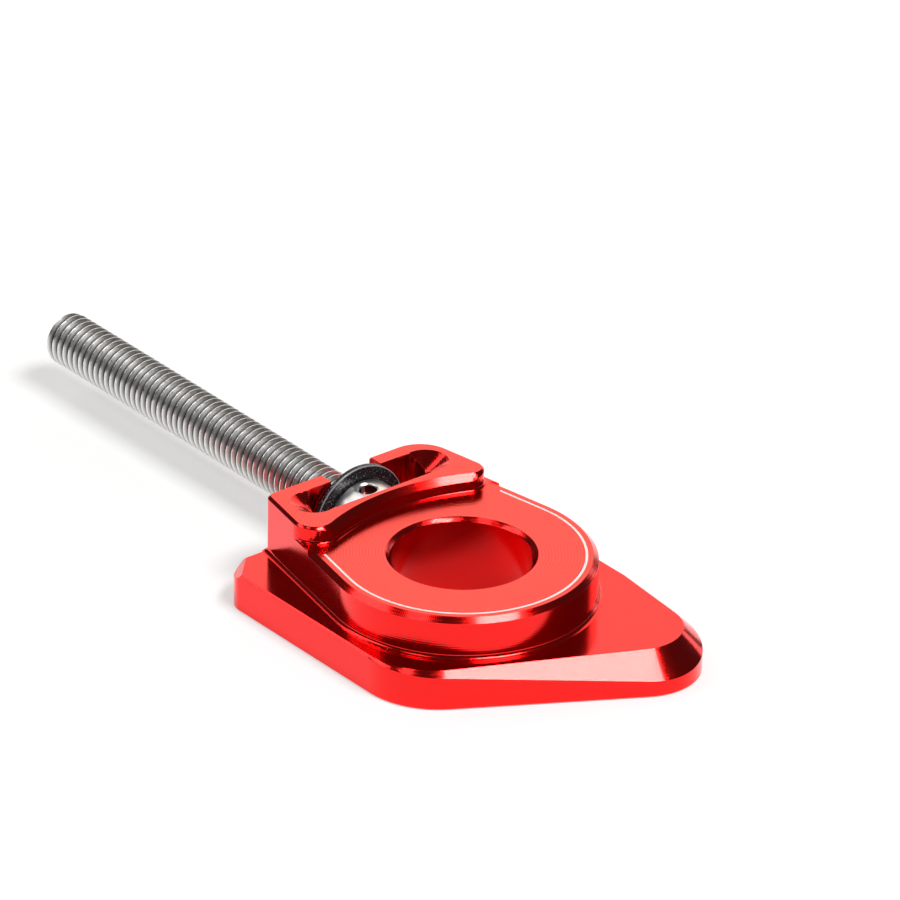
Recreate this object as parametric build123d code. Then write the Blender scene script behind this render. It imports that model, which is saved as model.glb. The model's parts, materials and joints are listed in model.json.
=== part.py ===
from build123d import *
import math
import os

# Motorcycle chain adjuster: a milled aluminium axle block that carries a threaded spindle.
# The axle passes through the bore. A wheel on the spindle's inner end is trapped in a pocket,
# so turning the wheel with a pin draws the axle along the swingarm.
#
# The origin is in the middle of the axle bore, on the underside. Z is the bore axis, upward.
# X runs along the spindle: the threaded end points to -X and the slanted tip of the plate to +X.

# Axle bore
axle_d = 20.0
axle_clearance = 0.1
bore_chamfer = 0.6

# Plate
plate_t = 5.9
plate_half_w = 21.65
end_x = -26.5
slant_offset = 22.63
slant_angle = 60.0
heel_r = 12.0
tip_r = 8.6
end_corner_r = 3.8
edge_break = 0.3
underside_break = 0.25

# Bevel on the plate, which widens toward the tip
heel_bevel = 0.26
slant_bevel_spread = 5.0
far_bevel_spread = 5.5
far_bevel_start_x = 10.0
end_bevel = 0.35
end_bevel_corner = 3.6
bevel_heel_r = 11.5
bevel_tip_r = 7.0

# Boss round the bore
boss_rise = 6.3
boss_r = 19.15
boss_near_taper = 11.5
boss_far_taper = 10.0
boss_end_r = 1.3
boss_chamfer = 0.75
boss_chamfer_run = 2.35
boss_edge_break = 0.15
boss_foot_r = 0.75

# Pocket block on the boss
block_rise = 2.5
block_arc_r = 30.8
block_waist_x = -15.85
block_far_step = 0.75
block_far_end_r = 5.4
horn_near_r = 3.6
horn_far_r = 2.6
block_chamfer = 0.9
block_edge_break = 0.4
block_foot_r = 0.5

# Spindle
spindle_d = 7.9
spindle_reach = 65.8
spindle_chamfer = 0.9
spindle_axis_z = 8.0
seat_d = 6.6
seat_start_gap = 0.3
seat_edge = 0.4

# Adjusting wheel
wheel_r = 5.95
wheel_t = 4.9
wheel_edge = 0.3
tool_holes = 6
tool_hole_d = 2.6
tool_hole_depth = 1.4
tool_hole_sink = 0.3
tool_hole_turn = 6.5
spindle_inset = 0.3

# Thrust washer
washer_r = 7.85
washer_t = 0.9
washer_bore_clearance = 0.08
washer_edge = 0.15

# Pocket and slot
end_wall_t = 2.6
wheel_end_gap = 0.1
wheel_washer_gap = 0.1
pocket_end_gap = 0.4
pocket_side_gap = 2.2
pocket_corner_r = 2.0
flare_r = 3.3
flare_angle = 118.0
slot_gap = 0.5
slot_drop = 1.1
slot_corner_r = 1.6

# Places that follow from the sizes above
bore_r = axle_d / 2 + axle_clearance
boss_top = plate_t + boss_rise
block_top = boss_top + block_rise
spindle_r = spindle_d / 2
seat_r = seat_d / 2
wall_inner_x = end_x + end_wall_t
washer_x = wall_inner_x + wheel_end_gap
wheel_x = washer_x + washer_t + wheel_washer_gap
wheel_end_x = wheel_x + wheel_t
pocket_x = wheel_end_x + pocket_end_gap
pocket_mid_x = (wall_inner_x + pocket_x) / 2
pocket_half_y = washer_r + pocket_side_gap
slot_half_w = spindle_r + slot_gap
slot_floor = spindle_axis_z - spindle_r - slot_drop
near_side_angle = -boss_near_taper
far_side_angle = 180 + boss_far_taper
margin = 10.0


# A line in plan is given by its direction in degrees and its distance from the bore axis,
# measured along the normal that points out of the part
def outward(angle):
    return Vector(math.sin(math.radians(angle)), -math.cos(math.radians(angle)), 0)


def at_x(angle, offset, x):
    normal = outward(angle)
    return Vector(x, (offset - normal.X * x) / normal.Y, 0)


def at_y(angle, offset, y):
    normal = outward(angle)
    return Vector((offset - normal.Y * y) / normal.X, y, 0)


def crossing(angle_a, offset_a, angle_b, offset_b):
    a = outward(angle_a)
    b = outward(angle_b)
    det = a.X * b.Y - a.Y * b.X
    return Vector((offset_a * b.Y - a.Y * offset_b) / det, (a.X * offset_b - offset_a * b.X) / det, 0)


def round_corner(face, point, radius):
    return fillet(face.vertices().sort_by_distance(point)[0], radius)


def rounded_outline(corners):
    face = make_face(Polyline(*[point for point, radius in corners], close=True))
    for point, radius in corners:
        if radius > 0:
            face = round_corner(face, point, radius)
    return face


def prism(face, low, high):
    return extrude(Pos(0, 0, low) * face, amount=high - low)


# The face is the top of the solid, which spreads by 45 degrees on the way down
def spreading_prism(face, low, high):
    return extrude(Pos(0, 0, high) * face, amount=low - high, taper=-45)


def plate_outline():
    return rounded_outline([
        (Vector(end_x, -plate_half_w), end_corner_r),
        (at_y(slant_angle, slant_offset, -plate_half_w), heel_r),
        (at_y(slant_angle, slant_offset, plate_half_w), tip_r),
        (Vector(end_x, plate_half_w), end_corner_r),
    ])


# The bevel starts on this outline of the top face. It is narrow at the heel and along the near
# side, and widens toward the tip, where it wraps round and dies out along the far side.
def bevel_outline():
    half_w = plate_half_w - edge_break
    left = end_x + end_bevel
    slant = slant_angle + slant_bevel_spread
    heel = at_y(slant_angle, slant_offset, -plate_half_w)
    slant_distance = outward(slant).dot(heel) - heel_bevel
    far = 180 - far_bevel_spread
    far_start = Vector(far_bevel_start_x, half_w)
    far_distance = outward(far).dot(far_start)
    outline = rounded_outline([
        (Vector(left, -half_w), 0),
        (at_y(slant, slant_distance, -half_w), bevel_heel_r),
        (crossing(slant, slant_distance, far, far_distance), bevel_tip_r),
        (far_start, 0),
        (Vector(left, half_w), 0),
    ])
    end_corners = outline.vertices().group_by(Axis.X)[0]
    return chamfer(end_corners, end_bevel_corner)


# An arc round the bore, with two tangent sides that draw in toward the end wall
def boss_outline(inset=0.0):
    radius = boss_r - inset
    near_touch = outward(near_side_angle) * radius
    far_touch = outward(far_side_angle) * radius
    near_end = at_x(near_side_angle, radius, end_x + inset)
    far_end = at_x(far_side_angle, radius, end_x + inset)
    outline = make_face([
        Line(near_end, near_touch),
        ThreePointArc(near_touch, Vector(radius, 0), far_touch),
        Line(far_touch, far_end),
        Line(far_end, near_end),
    ])
    outline = round_corner(outline, near_end, boss_end_r - inset)
    return round_corner(outline, far_end, boss_end_r - inset)


# The block shares the boss's near side and end wall. It is narrower than the boss on its far
# side, and is hollowed by an arc toward the bore.
def block_outline(hollow_inset=0.0, edge_inset=0.0):
    arc_r = block_arc_r + hollow_inset
    arc_x = block_waist_x + block_arc_r
    near_distance = boss_r - edge_inset
    far_distance = boss_r - block_far_step - edge_inset
    near_end = at_x(near_side_angle, near_distance, end_x + edge_inset)
    far_end = at_x(far_side_angle, far_distance, end_x + edge_inset)
    outline = make_face(Polyline(
        near_end, at_x(near_side_angle, near_distance, 0), at_x(far_side_angle, far_distance, 0),
        far_end, close=True))
    outline = (outline - Pos(arc_x, 0) * Circle(arc_r)).faces().sort_by(Axis.X)[0]
    near_horn, far_horn = outline.vertices().sort_by(Axis.X)[-2:].sort_by(Axis.Y)
    for point, radius in (
        (Vector(near_horn.X, near_horn.Y), horn_near_r - hollow_inset),
        (Vector(far_horn.X, far_horn.Y), horn_far_r - hollow_inset),
        (near_end, boss_end_r - edge_inset),
        (far_end, block_far_end_r - edge_inset),
    ):
        outline = round_corner(outline, point, radius)
    return outline


def make_plate():
    plate = prism(plate_outline(), 0, plate_t) & spreading_prism(bevel_outline(), 0, plate_t)
    return chamfer(plate.edges().group_by(Axis.Z)[0], underside_break)


# A blank larger than the outline carries the hollow at a wall's foot, and is then cut away
def make_footed(outline, low, high, foot_r):
    blank = prism(Rectangle(6 * boss_r, 6 * boss_r), low - foot_r, low)
    footed = prism(outline, low - foot_r, high) + blank
    bottom, floor, top = footed.faces().filter_by(Axis.Z).sort_by(Axis.Z)
    footed = fillet(floor.inner_wires()[0].edges(), foot_r)
    return footed & prism(Rectangle(8 * boss_r, 8 * boss_r), low, high)


# The chamfer stops short of the block, and only a narrow edge break goes on beside it
def make_boss():
    footed = make_footed(boss_outline(), plate_t, boss_top, boss_foot_r)
    top_edges = footed.edges().group_by(Axis.Z)[-1]
    beside_block = chamfer(top_edges, boss_edge_break) - Cylinder(boss_r + boss_chamfer_run, 4 * boss_top)
    boss = chamfer(top_edges, boss_chamfer) + beside_block.solids().sort_by(Axis.X)[0]
    return boss & prism(plate_outline(), plate_t, boss_top)


def make_pocket_block():
    outline = block_outline()
    block = make_footed(outline, boss_top, block_top, block_foot_r)
    block = block & prism(boss_outline(boss_edge_break), boss_top, block_top)
    block = block + prism(outline, boss_top - boss_chamfer, block_top)
    return block & spreading_prism(
        block_outline(block_chamfer, block_edge_break), boss_top - boss_chamfer, block_top)


def make_bore():
    sink = Cone(bore_r, bore_r + bore_chamfer, bore_chamfer, align=(Align.CENTER, Align.CENTER, Align.MAX))
    return Cylinder(bore_r, 2 * block_top) + Pos(0, 0, boss_top) * sink


# The pocket goes right through. A drill point flares each end so that the pin can swing.
def make_pocket():
    pocket = prism(
        Pos(pocket_mid_x, 0) * RectangleRounded(pocket_x - wall_inner_x, 2 * pocket_half_y, pocket_corner_r),
        -margin, block_top + margin)
    flare_depth = flare_r / math.tan(math.radians(flare_angle / 2))
    flare = Cone(0, flare_r, flare_depth, align=(Align.CENTER, Align.CENTER, Align.MAX))
    for side in (-1, 1):
        pocket = pocket + Pos(pocket_mid_x, side * pocket_half_y, block_top) * flare
    return pocket


def make_spindle_slot():
    height = 2 * block_top
    profile = Plane.YZ * Pos(0, slot_floor + height / 2) * RectangleRounded(
        2 * slot_half_w, height, slot_corner_r)
    return Pos(end_x - margin, 0, 0) * extrude(profile, amount=margin + end_wall_t + pocket_end_gap)


def make_axle_block():
    block = make_plate() + make_boss() + make_pocket_block()
    return block - make_bore() - make_pocket() - make_spindle_slot()


# Turned pieces are drawn along Z and laid along X from the given place
def along_spindle(x, shape):
    return Pos(x, 0, spindle_axis_z) * Rot(0, 90, 0) * shape


def make_spindle():
    length = wheel_end_x - spindle_inset - (end_x - spindle_reach)
    thread_length = spindle_reach - seat_start_gap
    thread = Cylinder(spindle_r, thread_length, align=(Align.CENTER, Align.CENTER, Align.MIN))
    thread = chamfer(thread.edges().group_by(Axis.Z)[0], spindle_chamfer)
    seat = Cylinder(seat_r, length - thread_length, align=(Align.CENTER, Align.CENTER, Align.MIN))
    seat = chamfer(seat.edges().group_by(Axis.Z)[-1], seat_edge)
    return along_spindle(end_x - spindle_reach, thread + Pos(0, 0, thread_length) * seat)


def make_wheel():
    wheel = Cylinder(wheel_r, wheel_t, align=(Align.CENTER, Align.CENTER, Align.MIN))
    wheel = chamfer(wheel.edges().filter_by(GeomType.CIRCLE), wheel_edge)
    wheel = wheel - Cylinder(seat_r, 3 * wheel_t)
    hole = Pos(0, 0, wheel_r) * (
        Cylinder(tool_hole_d / 2, tool_hole_depth, align=(Align.CENTER, Align.CENTER, Align.MAX))
        + Cone(tool_hole_d / 2, tool_hole_d / 2 + tool_hole_sink, tool_hole_sink,
               align=(Align.CENTER, Align.CENTER, Align.MAX)))
    for step in range(tool_holes):
        turn = 180 + tool_hole_turn + step * 360 / tool_holes
        wheel = wheel - Pos(0, 0, wheel_t / 2) * Rot(0, 0, turn) * Rot(0, 90, 0) * hole
    return along_spindle(wheel_x, wheel)


def make_washer():
    washer = Cylinder(washer_r, washer_t, align=(Align.CENTER, Align.CENTER, Align.MIN))
    washer = washer - Cylinder(seat_r + washer_bore_clearance, 3 * washer_t)
    washer = chamfer(washer.edges().filter_by(GeomType.CIRCLE), washer_edge)
    return along_spindle(washer_x, washer)


os.makedirs("parts", exist_ok=True)
pieces = {
    "axle_block": make_axle_block(),
    "threaded_spindle": make_spindle(),
    "adjusting_wheel": make_wheel(),
    "thrust_washer": make_washer(),
}
for name, shape in pieces.items():
    export_step(shape, f"parts/{name}.step")
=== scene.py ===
import json
import math
import bpy
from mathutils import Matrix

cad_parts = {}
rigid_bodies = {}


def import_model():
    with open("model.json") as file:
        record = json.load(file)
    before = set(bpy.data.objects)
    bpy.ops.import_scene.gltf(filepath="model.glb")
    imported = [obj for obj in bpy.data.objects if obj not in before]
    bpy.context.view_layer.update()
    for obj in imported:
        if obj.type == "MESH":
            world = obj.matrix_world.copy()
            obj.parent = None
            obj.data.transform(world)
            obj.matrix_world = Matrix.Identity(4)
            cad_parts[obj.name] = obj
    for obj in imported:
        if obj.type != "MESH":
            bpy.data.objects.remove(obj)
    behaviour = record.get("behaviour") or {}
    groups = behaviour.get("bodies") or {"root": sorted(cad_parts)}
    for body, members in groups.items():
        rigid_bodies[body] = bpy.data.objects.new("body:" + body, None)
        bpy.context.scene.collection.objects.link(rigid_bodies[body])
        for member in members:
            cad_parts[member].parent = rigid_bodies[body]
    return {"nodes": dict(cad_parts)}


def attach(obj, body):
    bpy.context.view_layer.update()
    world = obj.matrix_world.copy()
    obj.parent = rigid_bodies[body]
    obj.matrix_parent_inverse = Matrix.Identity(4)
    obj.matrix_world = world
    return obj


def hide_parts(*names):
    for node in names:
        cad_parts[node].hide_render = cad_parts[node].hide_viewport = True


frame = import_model()
bpy.ops.object.select_all(action='DESELECT')
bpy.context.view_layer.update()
mm = 0.001
spindleZ = 8.0 * mm         # height of the spindle's axis above the floor
print("frame loaded")


# Small helpers

def pick(obj):
    bpy.ops.object.select_all(action='DESELECT')
    obj.select_set(True)
    bpy.context.view_layer.objects.active = obj


def copyOfNode(nodeName, name):
    # a free copy of one CAD node, with its triangles joined back into faces
    pick(frame["nodes"][nodeName])
    bpy.ops.object.duplicate()
    obj = bpy.context.view_layer.objects.active
    bpy.ops.object.parent_clear(type='CLEAR_KEEP_TRANSFORM')
    obj.name = name
    obj.data.name = name
    bpy.ops.mesh.customdata_custom_splitnormals_clear()
    obj.data.materials.clear()
    bpy.ops.object.mode_set(mode='EDIT')
    bpy.ops.mesh.select_all(action='SELECT')
    bpy.ops.mesh.remove_doubles(threshold=0.000002)
    bpy.ops.mesh.dissolve_limited(angle_limit=math.radians(0.4))
    bpy.ops.object.mode_set(mode='OBJECT')
    return obj


def applyModifier(obj, kind, **settings):
    pick(obj)
    mod = obj.modifiers.new(kind.title(), kind)
    for key, value in settings.items():
        setattr(mod, key, value)
    bpy.ops.object.modifier_apply(modifier=mod.name)


def combine(obj, other, operation, **settings):
    applyModifier(obj, 'BOOLEAN', operation=operation, solver='EXACT', object=other, **settings)
    bpy.data.objects.remove(other)


def turnedBar(start, end, radius, edge):
    # a round bar along X with both its rims chamfered
    bpy.ops.mesh.primitive_cylinder_add(
        vertices=144, radius=radius, depth=end - start,
        location=((start + end) / 2, 0, 0), rotation=(0, math.radians(90), 0))
    bar = bpy.context.object
    bpy.ops.object.transform_apply(location=True, rotation=True, scale=True)
    applyModifier(bar, 'BEVEL', width=edge, segments=1, limit_method='ANGLE',
                  angle_limit=math.radians(60))
    return bar


def softenEdges(obj, width, angle):
    # a small round on the sharp edges, so that they catch the light
    applyModifier(obj, 'BEVEL', width=width, segments=2, limit_method='ANGLE',
                  angle_limit=math.radians(angle), miter_outer='MITER_ARC')


def shade(obj, angle):
    pick(obj)
    bpy.ops.object.shade_smooth_by_angle(angle=math.radians(angle))
    applyModifier(obj, 'WEIGHTED_NORMAL', keep_sharp=True)


def settle(obj, body, node):
    # every finished piece rides its body and stands for its node
    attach(obj, body)
    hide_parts(node)


def addNode(mat, kind, x, y, inputs=(), **settings):
    n = mat.node_tree.nodes.new(kind)
    n.location = (x, y)
    for key, value in settings.items():
        setattr(n, key, value)
    for key, value in dict(inputs).items():
        n.inputs[key].default_value = value
    return n


def newMaterial(name, **values):
    mat = bpy.data.materials.new(name)
    mat.use_nodes = True
    shader = mat.node_tree.nodes["Principled BSDF"]
    for key, value in values.items():
        shader.inputs[key].default_value = value
    return mat, shader


def fromSpindleAxis(mat, coords, x, y):
    # how far a point lies from the spindle's axis
    flat = addNode(mat, 'ShaderNodeVectorMath', x, y, {1: (0, 1, 1)}, operation='MULTIPLY')
    spoke = addNode(mat, 'ShaderNodeVectorMath', x + 200, y, {1: (0, 0, spindleZ)},
                    operation='DISTANCE')
    mat.node_tree.links.new(coords.outputs['Object'], flat.inputs[0])
    mat.node_tree.links.new(flat.outputs['Vector'], spoke.inputs[0])
    return spoke


# Materials

red = {
    'plateDark': (0.95, 0.004, 0.003, 1),
    'plateLight': (0.95, 0.009, 0.006, 1),
    # flat tops above the plate get a paler red than the rest of the part: painted sheen; the turning rings
    # mix its two tones
    'sheenTopDark': (0.95, 0.010, 0.005, 1),
    'sheenTopLight': (0.95, 0.060, 0.040, 1),
    'coat': 0.45,
    'coatRough': 0.12,
    'smooth': 0.12,
    'rough': 0.18,
    'level': 0.98,          # a face that looks up at least this much is a flat top
    'plateTop': 6.5 * mm,
    'grain': 5600.0,        # scale of the fine sparkle
    'speckHeight': 0.6,
    'bump': 0.2,
    'bumpDepth': 0.02 * mm,
    'rings': 700.0,         # turning marks on the flat tops, about 0.45 mm apart
    'bands': 900.0,         # milling lines along the walls and bevels
    'teeth': 420.0,         # short cutter marks round the boss's chamfers
    'ringFoot': 11.4 * mm,
}

redAnodised, shader = newMaterial("redAnodised", **{
    'Metallic': 1.0, 'Coat Weight': red['coat'], 'Coat Roughness': red['coatRough']})
links = redAnodised.node_tree.links
coords = addNode(redAnodised, 'ShaderNodeTexCoord', -1700, 0)
grain = addNode(redAnodised, 'ShaderNodeTexNoise', -1300, -300, {'Scale': red['grain'], 'Detail': 3.0})
rings = addNode(redAnodised, 'ShaderNodeTexWave', -1300, 300,
                {'Scale': red['rings'], 'Distortion': 1.5, 'Detail': 2.0, 'Detail Scale': 0.5},
                wave_type='RINGS', rings_direction='Z')
bands = addNode(redAnodised, 'ShaderNodeTexWave', -1300, 0,
                {'Scale': red['bands'], 'Distortion': 1.5, 'Detail': 2.0, 'Detail Scale': 0.15},
                wave_type='BANDS', bands_direction='Z')
facing = addNode(redAnodised, 'ShaderNodeSeparateXYZ', -1500, 500)
place = addNode(redAnodised, 'ShaderNodeSeparateXYZ', -1500, 700)
isTop = addNode(redAnodised, 'ShaderNodeMath', -1300, 550, {1: red['level']}, operation='GREATER_THAN')
isHigh = addNode(redAnodised, 'ShaderNodeMath', -1300, 700, {1: red['plateTop']}, operation='GREATER_THAN')
angle = addNode(redAnodised, 'ShaderNodeMath', -1500, 900, operation='ARCTAN2')
teeth = addNode(redAnodised, 'ShaderNodeMath', -1300, 900, {1: red['teeth']}, operation='MULTIPLY')
ribs = addNode(redAnodised, 'ShaderNodeMath', -1100, 900, operation='SINE')
isRing = addNode(redAnodised, 'ShaderNodeMath', -1100, 1050, {1: red['ringFoot']}, operation='GREATER_THAN')
ribbed = addNode(redAnodised, 'ShaderNodeMath', -900, 900, operation='MULTIPLY')
# flat tops above the plate, where the painted sheen goes
isSheenTop = addNode(redAnodised, 'ShaderNodeMath', -1100, 650, operation='MULTIPLY')
marks = addNode(redAnodised, 'ShaderNodeMix', -1000, 200, data_type='FLOAT')
plateRed = addNode(redAnodised, 'ShaderNodeMix', -700, 300,
                   {'A': red['plateDark'], 'B': red['plateLight']}, data_type='RGBA')
sheenTopRed = addNode(redAnodised, 'ShaderNodeMix', -700, 550,
                    {'A': red['sheenTopDark'], 'B': red['sheenTopLight']}, data_type='RGBA')
colour = addNode(redAnodised, 'ShaderNodeMix', -450, 400, data_type='RGBA')
lines = addNode(redAnodised, 'ShaderNodeMath', -850, 0, operation='ADD')
mixed = addNode(redAnodised, 'ShaderNodeMath', -650, 0, {1: 0.5}, operation='MULTIPLY_ADD')
rough = addNode(redAnodised, 'ShaderNodeMapRange', -700, -300,
                {'From Min': 0.3, 'From Max': 0.7, 'To Min': red['smooth'], 'To Max': red['rough']})
specks = addNode(redAnodised, 'ShaderNodeMapRange', -1000, -150,
                 {'From Min': 0.60, 'From Max': 0.72, 'To Max': red['speckHeight']})
bump = addNode(redAnodised, 'ShaderNodeBump', -250, -50,
               {'Strength': red['bump'], 'Distance': red['bumpDepth']})
links.new(coords.outputs['Object'], grain.inputs['Vector'])
links.new(coords.outputs['Object'], rings.inputs['Vector'])
links.new(coords.outputs['Object'], bands.inputs['Vector'])
links.new(coords.outputs['Normal'], facing.inputs['Vector'])
links.new(coords.outputs['Object'], place.inputs['Vector'])
links.new(facing.outputs['Z'], isTop.inputs[0])
links.new(place.outputs['Y'], angle.inputs[0])
links.new(place.outputs['X'], angle.inputs[1])
links.new(angle.outputs['Value'], teeth.inputs[0])
links.new(teeth.outputs['Value'], ribs.inputs[0])
links.new(place.outputs['Z'], isRing.inputs[0])
links.new(ribs.outputs['Value'], ribbed.inputs[0])
links.new(isRing.outputs['Value'], ribbed.inputs[1])
links.new(place.outputs['Z'], isHigh.inputs[0])
links.new(isTop.outputs['Value'], isSheenTop.inputs[0])
links.new(isHigh.outputs['Value'], isSheenTop.inputs[1])
links.new(isSheenTop.outputs['Value'], marks.inputs[0])
links.new(bands.outputs['Fac'], marks.inputs[2])
links.new(rings.outputs['Fac'], marks.inputs[3])
links.new(marks.outputs[0], plateRed.inputs[0])
links.new(marks.outputs[0], sheenTopRed.inputs[0])
links.new(isSheenTop.outputs['Value'], colour.inputs[0])
links.new(plateRed.outputs[2], colour.inputs[6])
links.new(sheenTopRed.outputs[2], colour.inputs[7])
links.new(colour.outputs[2], shader.inputs['Base Color'])
links.new(ribbed.outputs['Value'], mixed.inputs[0])
links.new(marks.outputs[0], lines.inputs[0])
links.new(grain.outputs['Fac'], specks.inputs['Value'])
links.new(specks.outputs['Result'], lines.inputs[1])
links.new(lines.outputs['Value'], mixed.inputs[2])
links.new(mixed.outputs['Value'], bump.inputs['Height'])
links.new(grain.outputs['Fac'], rough.inputs['Value'])
links.new(rough.outputs['Result'], shader.inputs['Roughness'])
links.new(bump.outputs['Normal'], shader.inputs['Normal'])

bareMetal, shader = newMaterial("bareMetal", **{
    'Base Color': (0.95, 0.92, 0.91, 1), 'Metallic': 0.2, 'Roughness': 0.55})

steel = {
    # the thread's colour runs from near-black in its roots, a painted shade, to light grey on the crests
    'grooveShade': (0.10, 0.097, 0.094, 1),
    'crest': (0.82, 0.81, 0.79, 1),
    'grooveR': 3.36 * mm,
    'crestR': 3.90 * mm,
    'grooveRough': 0.42,
    'crestRough': 0.16,
    'scuffed': 0.22,        # added to both by the scuffs
}

stainless, shader = newMaterial("stainless", **{'Metallic': 1.0})
links = stainless.node_tree.links
coords = addNode(stainless, 'ShaderNodeTexCoord', -1500, 0)
spoke = fromSpindleAxis(stainless, coords, -1300, 200)
height = addNode(stainless, 'ShaderNodeMapRange', -850, 200,
                 {'From Min': steel['grooveR'], 'From Max': steel['crestR']})
scuff = addNode(stainless, 'ShaderNodeTexNoise', -1100, -150, {'Scale': 1900.0, 'Detail': 4.0})
dull = addNode(stainless, 'ShaderNodeMapRange', -600, -50,
               {'To Min': steel['grooveRough'], 'To Max': steel['crestRough']})
worn = addNode(stainless, 'ShaderNodeMath', -350, -100, {1: steel['scuffed']}, operation='MULTIPLY_ADD')
# painted shade: darker towards the thread's roots
paintedShadeMix = addNode(stainless, 'ShaderNodeMix', -350, 200,
               {'A': steel['grooveShade'], 'B': steel['crest']}, data_type='RGBA')
links.new(coords.outputs['Object'], scuff.inputs['Vector'])
links.new(spoke.outputs['Value'], height.inputs['Value'])
links.new(height.outputs['Result'], dull.inputs['Value'])
links.new(height.outputs['Result'], paintedShadeMix.inputs[0])
links.new(scuff.outputs['Fac'], worn.inputs[0])
links.new(dull.outputs['Result'], worn.inputs[2])
links.new(worn.outputs['Value'], shader.inputs['Roughness'])
links.new(paintedShadeMix.outputs[2], shader.inputs['Base Color'])

polish = {
    'face': (0.90, 0.89, 0.88, 1),
    'hole': (0.20, 0.05, 0.045, 1),
    'holeR': 5.55 * mm,     # below this radius the tool holes get a painted shade, tinted red as a painted reflection of the block
    'faceR': 5.65 * mm,
    'endFace': 0.95,        # a face that looks along X at least this much is an end face
    'rough': 0.31,
}

polished, shader = newMaterial("polishedSteel", **{'Metallic': 1.0, 'Roughness': polish['rough']})
links = polished.node_tree.links
coords = addNode(polished, 'ShaderNodeTexCoord', -1300, 0)
spoke = fromSpindleAxis(polished, coords, -1100, 0)
outer = addNode(polished, 'ShaderNodeMapRange', -650, 100,
                {'From Min': polish['holeR'], 'From Max': polish['faceR']})
facing = addNode(polished, 'ShaderNodeSeparateXYZ', -1100, -250)
isEnd = addNode(polished, 'ShaderNodeMath', -900, -250, {1: polish['endFace']}, operation='GREATER_THAN')
bright = addNode(polished, 'ShaderNodeMath', -450, 0, operation='MAXIMUM')
# painted shade and painted red reflection in the tool holes; end faces keep the polished colour
paintedShadeMix = addNode(polished, 'ShaderNodeMix', -250, 100,
               {'A': polish['hole'], 'B': polish['face']}, data_type='RGBA')
links.new(coords.outputs['Normal'], facing.inputs['Vector'])
links.new(spoke.outputs['Value'], outer.inputs['Value'])
links.new(facing.outputs['X'], isEnd.inputs[0])
links.new(outer.outputs['Result'], bright.inputs[0])
links.new(isEnd.outputs['Value'], bright.inputs[1])
links.new(bright.outputs['Value'], paintedShadeMix.inputs[0])
links.new(paintedShadeMix.outputs[2], shader.inputs['Base Color'])

black = {
    'paint': (0.006, 0.006, 0.008, 1),
    'worn': (0.30, 0.30, 0.32, 1),
    'edgeR': 7.775 * mm,    # the worn ring at the rim, and half its width
    'edgeHalf': 0.065 * mm,
    'chipped': 0.9,
    'rough': 0.32,
    'specular': 0.35,
}

blackWasher, shader = newMaterial("blackWasher", **{
    'Roughness': black['rough'], 'Specular IOR Level': black['specular']})
links = blackWasher.node_tree.links
coords = addNode(blackWasher, 'ShaderNodeTexCoord', -1500, 0)
spoke = fromSpindleAxis(blackWasher, coords, -1300, 200)
rim = addNode(blackWasher, 'ShaderNodeMath', -850, 200,
              {1: black['edgeR'], 2: black['edgeHalf']}, operation='COMPARE')
specks = addNode(blackWasher, 'ShaderNodeTexNoise', -1100, -150, {'Scale': 3800.0, 'Detail': 4.0})
chips = addNode(blackWasher, 'ShaderNodeMapRange', -850, -150,
                {'From Min': 0.57, 'From Max': 0.66, 'To Max': black['chipped']})
wear = addNode(blackWasher, 'ShaderNodeMath', -600, 50, operation='MAXIMUM')
paint = addNode(blackWasher, 'ShaderNodeMix', -350, 100,
                {'A': black['paint'], 'B': black['worn']}, data_type='RGBA')
links.new(coords.outputs['Object'], specks.inputs['Vector'])
links.new(spoke.outputs['Value'], rim.inputs[0])
links.new(specks.outputs['Fac'], chips.inputs['Value'])
links.new(rim.outputs['Value'], wear.inputs[0])
links.new(chips.outputs['Result'], wear.inputs[1])
links.new(wear.outputs['Value'], paint.inputs[0])
links.new(paint.outputs[2], shader.inputs['Base Color'])
print("materials made")


# Axle block

axleBlock = {
    'edge': 0.05 * mm,
    'crease': 30,           # degrees; a sharper edge stays sharp in the shading
}

line = {
    'radius': 17.45 * mm,
    'from': -101.5,         # degrees round the bore, from +X
    'to': 100.0,
    'nearTail': 7.9 * mm,
    'farTail': 8.1 * mm,
    'width': 0.35 * mm,
    'depth': 0.05 * mm,
    'top': 12.2 * mm,
    'steps': 150,
}

block = copyOfNode("axle_block", "axleBlock")
block.data.materials.append(redAnodised)
softenEdges(block, axleBlock['edge'], axleBlock['crease'])

start, end = math.radians(line['from']), math.radians(line['to'])
bpy.ops.mesh.primitive_plane_add(size=1, rotation=(math.radians(90), 0, 0))
cutter = bpy.context.object
cutter.name = "engravedLineCutter"
cutter.data.materials.append(bareMetal)
cutter.scale = (line['width'], 2 * line['depth'], 1)
bpy.ops.object.transform_apply(location=True, rotation=True, scale=True)
bpy.ops.object.mode_set(mode='EDIT')
bpy.ops.mesh.delete(type='ONLY_FACE')
bpy.ops.mesh.select_all(action='SELECT')
bpy.ops.transform.translate(value=(line['radius'], -line['nearTail'], line['top']))
bpy.ops.transform.rotate(value=-start, orient_axis='Z', center_override=(0, 0, 0))
bpy.ops.mesh.extrude_region_move(TRANSFORM_OT_translate={
    'value': (-math.sin(start) * line['nearTail'], math.cos(start) * line['nearTail'], 0)})
bpy.ops.mesh.spin(steps=line['steps'], angle=start - end, center=(0, 0, 0), axis=(0, 0, 1))
bpy.ops.mesh.extrude_region_move(TRANSFORM_OT_translate={
    'value': (-math.sin(end) * line['farTail'], math.cos(end) * line['farTail'], 0)})
bpy.ops.mesh.select_all(action='SELECT')
bpy.ops.mesh.remove_doubles(threshold=0.000001)
bpy.ops.mesh.fill_holes(sides=4)
bpy.ops.mesh.select_all(action='SELECT')
bpy.ops.mesh.normals_make_consistent(inside=False)
bpy.ops.object.mode_set(mode='OBJECT')
combine(block, cutter, 'DIFFERENCE', material_mode='TRANSFER')
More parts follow.
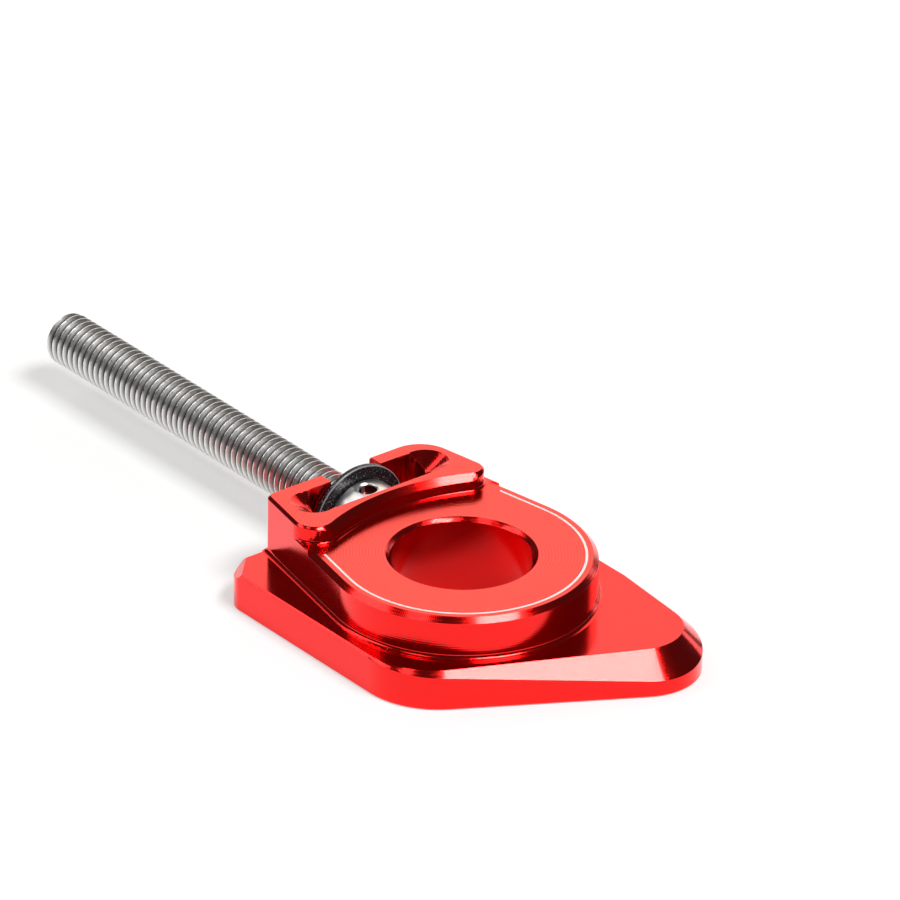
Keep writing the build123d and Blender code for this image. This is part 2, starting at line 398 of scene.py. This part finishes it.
print("line engraved", [m.name for m in block.data.materials])

shade(block, axleBlock['crease'])
settle(block, "block", "axle_block")
print("block made")


# Threaded spindle

thread = {
    'pitch': 1.25 * mm,
    'crest': 3.93 * mm,
    'root': 3.24 * mm,
    'start': -92.3 * mm,
    'end': -24.1 * mm,      # just short of the washer
    'chamfer': 0.9 * mm,
    'steps': 72,
    # one pitch of the thread: eighths of it along the axis, and parts of its depth
    'profile': ((1.0, 0.0), (0.5, 0.14), (1.8, 0.72), (0.5, 0.14), (0.9, 0.0),
                (0.5, -0.14), (1.8, -0.72), (0.5, -0.14), (0.5, 0.0)),
    'seat': 3.3 * mm,
    'seatEnd': -18.2 * mm,
    'seatEdge': 0.4 * mm,
    'crease': 40,
}

turns = int((thread['end'] - thread['start']) / thread['pitch']) + 4
rise = thread['crest'] - thread['root']
part = thread['pitch'] / 8
bpy.ops.mesh.primitive_plane_add(size=0.001)
rod = bpy.context.object
rod.name = "threadedSpindle"
bpy.ops.object.mode_set(mode='EDIT')
bpy.ops.mesh.select_all(action='SELECT')
bpy.ops.mesh.merge(type='CENTER')
bpy.ops.transform.translate(value=(thread['start'] - 2 * thread['pitch'], 0, thread['root']))
for along, up in thread['profile']:
    bpy.ops.mesh.extrude_region_move(
        TRANSFORM_OT_translate={'value': (along * part, 0, up * rise)})
bpy.ops.object.mode_set(mode='OBJECT')
applyModifier(rod, 'SCREW', axis='X', angle=math.radians(360), screw_offset=thread['pitch'],
              iterations=turns, steps=thread['steps'], render_steps=thread['steps'],
              use_normal_calculate=True)
bpy.ops.object.mode_set(mode='EDIT')
bpy.ops.mesh.select_all(action='SELECT')
bpy.ops.mesh.remove_doubles(threshold=0.000002)
bpy.ops.mesh.select_all(action='DESELECT')
bpy.ops.mesh.select_non_manifold()
bpy.ops.mesh.edge_face_add()
bpy.ops.mesh.select_all(action='SELECT')
bpy.ops.mesh.normals_make_consistent(inside=False)
bpy.ops.object.mode_set(mode='OBJECT')
print("thread made", len(rod.data.vertices))

blank = turnedBar(thread['start'], thread['end'], thread['crest'] + 0.02 * mm, thread['chamfer'])
combine(rod, blank, 'INTERSECT')
seat = turnedBar(thread['end'] - thread['pitch'], thread['seatEnd'], thread['seat'], thread['seatEdge'])
combine(rod, seat, 'UNION')
bpy.ops.object.mode_set(mode='EDIT')
bpy.ops.mesh.select_all(action='SELECT')
bpy.ops.transform.translate(value=(0, 0, spindleZ))
bpy.ops.object.mode_set(mode='OBJECT')
pick(rod)
bpy.ops.object.shade_smooth_by_angle(angle=math.radians(thread['crease']))
rod.data.materials.append(stainless)
settle(rod, "spindle", "threaded_spindle")
print("spindle made", len(rod.data.polygons))


# Adjusting wheel

wheelLook = {
    'edge': 0.10 * mm,
    'crease': 30,
}

wheel = copyOfNode("adjusting_wheel", "adjustingWheel")
wheel.data.materials.append(polished)
softenEdges(wheel, wheelLook['edge'], wheelLook['crease'])
shade(wheel, wheelLook['crease'])
settle(wheel, "spindle", "adjusting_wheel")
print("wheel made")


# Thrust washer

washer = copyOfNode("thrust_washer", "thrustWasher")
washer.data.materials.append(blackWasher)
shade(washer, 30)
settle(washer, "washer", "thrust_washer")
print("washer made")


# Floor, lamps and camera

paper = {
    'size': 6,
    'drop': 0.02 * mm,      # below the part, so that the two faces don't meet
    'grey': (0.58, 0.58, 0.58, 1),
    'nearGlow': 0.48,       # added light for the camera and for reflections
    'farGlow': 0.75,
    'nearEdge': 90 * mm,
    'farEdge': 260 * mm,
    'boreShade': 11 * mm,   # no added light inside the bore
}

bpy.ops.mesh.primitive_plane_add(size=paper['size'], location=(0, 0, -paper['drop']))
floor = bpy.context.object
floor.name = "floor"
floorPaint = bpy.data.materials.new("floorPaint")
floorPaint.use_nodes = True
tree = floorPaint.node_tree
tree.nodes.clear()
out = addNode(floorPaint, 'ShaderNodeOutputMaterial', 400, 0)
diffuse = addNode(floorPaint, 'ShaderNodeBsdfDiffuse', -200, 100, {'Color': paper['grey']})
glow = addNode(floorPaint, 'ShaderNodeEmission', -200, -100)
path = addNode(floorPaint, 'ShaderNodeLightPath', -950, -200)
seen = addNode(floorPaint, 'ShaderNodeMath', -750, -200, operation='MAXIMUM')
where = addNode(floorPaint, 'ShaderNodeTexCoord', -1150, -450)
reach = addNode(floorPaint, 'ShaderNodeVectorMath', -950, -450, operation='LENGTH')
outside = addNode(floorPaint, 'ShaderNodeMath', -750, -450, {1: paper['boreShade']},
                  operation='GREATER_THAN')
shown = addNode(floorPaint, 'ShaderNodeMath', -560, -250, operation='MULTIPLY')
far = addNode(floorPaint, 'ShaderNodeMapRange', -750, -650,
              {'From Min': paper['nearEdge'], 'From Max': paper['farEdge'],
               'To Min': paper['nearGlow'], 'To Max': paper['farGlow']})
lift = addNode(floorPaint, 'ShaderNodeMath', -400, -150, operation='MULTIPLY')
both = addNode(floorPaint, 'ShaderNodeAddShader', 150, 0)
tree.links.new(path.outputs['Is Camera Ray'], seen.inputs[0])
tree.links.new(path.outputs['Is Glossy Ray'], seen.inputs[1])
tree.links.new(where.outputs['Object'], reach.inputs[0])
tree.links.new(reach.outputs['Value'], outside.inputs[0])
tree.links.new(seen.outputs['Value'], shown.inputs[0])
tree.links.new(outside.outputs['Value'], shown.inputs[1])
tree.links.new(reach.outputs['Value'], far.inputs['Value'])
tree.links.new(shown.outputs['Value'], lift.inputs[0])
tree.links.new(far.outputs['Result'], lift.inputs[1])
tree.links.new(lift.outputs['Value'], glow.inputs['Strength'])
tree.links.new(diffuse.outputs['BSDF'], both.inputs[0])
tree.links.new(glow.outputs['Emission'], both.inputs[1])
tree.links.new(both.outputs['Shader'], out.inputs['Surface'])
floor.data.materials.append(floorPaint)


def addLamp(name, power, width, height, azimuth, elevation, distance, colour=(1.0, 1.0, 1.0)):
    # a rectangular soft box that looks at the origin; azimuth 0 is +X, 90 is +Y
    a, e = math.radians(azimuth), math.radians(elevation)
    place = (distance * math.cos(a) * math.cos(e), distance * math.sin(a) * math.cos(e),
             distance * math.sin(e))
    bpy.ops.object.light_add(type='AREA', location=place)
    lamp = bpy.context.object
    lamp.name = name
    lamp.data.shape = 'RECTANGLE'
    lamp.data.energy = power
    lamp.data.size = width
    lamp.data.size_y = height
    lamp.data.color = colour
    lamp.rotation_euler = (math.pi / 2 - e, 0, a + math.pi / 2)


# name, watts, width, height, azimuth, elevation, distance
addLamp("keyBox", 9.5, 0.46, 0.27, 4, 58, 1.1)
addLamp("sideBox", 1.7, 0.60, 0.32, -130, 40, 1.1)
addLamp("topCard", 0.5, 0.25, 0.30, -87, 57, 1.1)
addLamp("leftCard", 0.6, 0.35, 0.30, -170, 46, 1.1)
addLamp("tipCard", 0.16, 0.16, 0.24, 96, 8, 1.1)
addLamp("backBox", 4.6, 1.48, 0.88, 135, 26, 1.2, (1.0, 0.91, 0.79))
print("lamps placed")

studio = {
    'backdrop': 1.0,        # what the camera sees behind the part
    'room': 0.07,           # what lights the part from all round
}

world = bpy.context.scene.world or bpy.data.worlds.new("studio")
bpy.context.scene.world = world
world.use_nodes = True
tree = world.node_tree
tree.nodes.clear()
white = (1, 1, 1, 1)
out = addNode(world, 'ShaderNodeOutputWorld', 400, 0)
path = addNode(world, 'ShaderNodeLightPath', -200, 300)
room = addNode(world, 'ShaderNodeBackground', -200, 0, {'Color': white, 'Strength': studio['room']})
backdrop = addNode(world, 'ShaderNodeBackground', -200, -200,
                   {'Color': white, 'Strength': studio['backdrop']})
mix = addNode(world, 'ShaderNodeMixShader', 150, 0)
tree.links.new(path.outputs['Is Camera Ray'], mix.inputs['Fac'])
tree.links.new(room.outputs['Background'], mix.inputs[1])
tree.links.new(backdrop.outputs['Background'], mix.inputs[2])
tree.links.new(mix.outputs['Shader'], out.inputs['Surface'])

view = {
    'place': (0.97968, -0.80212, 0.7052),
    'turn': (61.8717, -0.8787, 51.2473),    # degrees
    'lens': 413.78,
    'sensor': 36,
    'near': 0.1,
    'far': 20,
}

bpy.ops.object.camera_add(location=view['place'])
camera = bpy.context.object
camera.name = "camera"
camera.data.lens = view['lens']
camera.data.sensor_width = view['sensor']
camera.data.clip_start = view['near']
camera.data.clip_end = view['far']
camera.rotation_euler = [math.radians(t) for t in view['turn']]
bpy.context.scene.camera = camera

bpy.context.scene.view_settings.view_transform = 'Standard'
